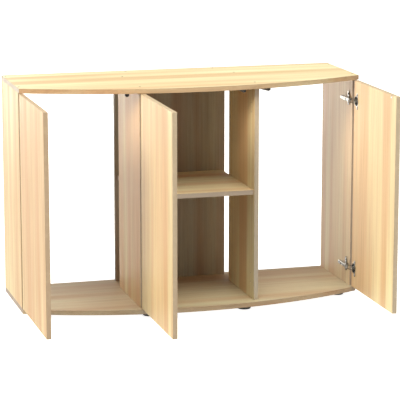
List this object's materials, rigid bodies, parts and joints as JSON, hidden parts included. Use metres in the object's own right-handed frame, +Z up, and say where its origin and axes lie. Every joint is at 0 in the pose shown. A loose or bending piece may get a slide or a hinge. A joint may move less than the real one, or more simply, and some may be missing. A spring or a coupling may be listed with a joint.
{
  "type": "aquarium stand",
  "caption": "Bow-front aquarium stand in light oak-look board, with open bays, a centre shelf, hinged doors on concealed hinges and push latches.",
  "frame": {"origin": "middle of the underside of the box that the stand fills at rest, with its doors standing open; the feet rest on Z = 0", "axes": "+X to the right along the front, +Y to the rear, +Z up"},
  "size_m": [1.21, 0.8486, 0.8],
  "materials": {
    "board": "satin light oak-look laminate on particle board",
    "edging": "satin edge strip with a lengthwise grain",
    "hinge_nickel": "nickel plated pressed steel",
    "screw_steel": "zinc plated",
    "strike_steel": "plain steel",
    "screw_dark": "dark burnished",
    "latch_grey": "fine textured",
    "latch_black": "matt",
    "foot_black": "matt moulded"
  },
  "bodies": {
    "carcass": {"top_panel": "board", "bottom_panel": "board", "left_side_panel": "board", "right_side_panel": "board", "left_divider": "board", "right_divider": "board", "back_panel": "board", "centre_shelf": "board", "top_front_edging": "edging", "bottom_front_edging": "edging", "left_hinge_arms": "hinge_nickel", "left_hinge_plates": "hinge_nickel", "left_latch_housing": "latch_grey", "centre_hinge_arms": "hinge_nickel", "centre_hinge_plates": "hinge_nickel", "centre_latch_housing": "latch_grey", "right_hinge_arms": "hinge_nickel", "right_hinge_plates": "hinge_nickel", "right_latch_housing": "latch_grey", "hinge_plate_screws": "screw_steel", "arm_adjusting_screws": "screw_steel", "latch_screws": "screw_steel", "top_screws": "screw_dark", "bottom_screws": "screw_dark", "foot_screws": "screw_steel", "front_feet": "foot_black", "rear_feet": "foot_black", "shelf_supports": "screw_steel"},
    "left_leaf": {"left_door": "board", "left_hinge_cups": "hinge_nickel", "left_cup_screws": "screw_steel", "left_strike_plate": "strike_steel"},
    "left_links": {"left_hinge_links": "hinge_nickel"},
    "left_plunger": {"left_latch_plunger": "latch_black"},
    "centre_leaf": {"centre_door": "board", "centre_hinge_cups": "hinge_nickel", "centre_cup_screws": "screw_steel", "centre_strike_plate": "strike_steel"},
    "centre_links": {"centre_hinge_links": "hinge_nickel"},
    "centre_plunger": {"centre_latch_plunger": "latch_black"},
    "right_leaf": {"right_door": "board", "right_hinge_cups": "hinge_nickel", "right_cup_screws": "screw_steel", "right_strike_plate": "strike_steel"},
    "right_links": {"right_hinge_links": "hinge_nickel"},
    "right_plunger": {"right_latch_plunger": "latch_black"}
  },
  "joints": [
    {"name": "left_door_hinge", "type": "hinge", "parent": "carcass", "child": "left_leaf", "pos_m": [-0.605, 0.08912, 0.41], "axis": [0, 0, 1], "range_deg": [-20, 75]},
    {"name": "left_link_fold", "type": "hinge", "parent": "left_leaf", "child": "left_links", "pos_m": [-0.593, 0.07512, 0.41], "axis": [0, 0, 1], "range_deg": [-91.87, 24.64]},
    {"name": "left_latch_push", "type": "slide", "parent": "carcass", "child": "left_plunger", "axis": [0.2588, 0.9659, 0], "range_m": [-0.018, 0.0015]},
    {"name": "centre_door_hinge", "type": "hinge", "parent": "carcass", "child": "centre_leaf", "pos_m": [-0.20932, -0.0135, 0.41], "axis": [0, 0, 1], "range_deg": [-5, 90]},
    {"name": "centre_link_fold", "type": "hinge", "parent": "centre_leaf", "child": "centre_links", "pos_m": [-0.1995, -0.03032, 0.41], "axis": [0, 0, 1], "range_deg": [-110.2, 6.31]},
    {"name": "centre_latch_push", "type": "slide", "parent": "carcass", "child": "centre_plunger", "axis": [0, 1, 0], "range_m": [-0.018, 0.0015]},
    {"name": "right_door_hinge", "type": "hinge", "parent": "carcass", "child": "right_leaf", "pos_m": [0.605, 0.08912, 0.41], "axis": [0, 0, -1], "range_deg": [-20, 75]},
    {"name": "right_link_fold", "type": "hinge", "parent": "right_leaf", "child": "right_links", "pos_m": [0.593, 0.07512, 0.41], "axis": [0, 0, -1], "range_deg": [-91.87, 24.64]},
    {"name": "right_latch_push", "type": "slide", "parent": "carcass", "child": "right_plunger", "axis": [-0.2588, 0.9659, 0], "range_m": [-0.018, 0.0015]}
  ],
  "couplings": [
    {"joint": "left_link_fold", "follows": "left_door_hinge", "ratio": -1.2222},
    {"joint": "centre_link_fold", "follows": "centre_door_hinge", "ratio": -1.2222},
    {"joint": "right_link_fold", "follows": "right_door_hinge", "ratio": -1.2222}
  ]
}
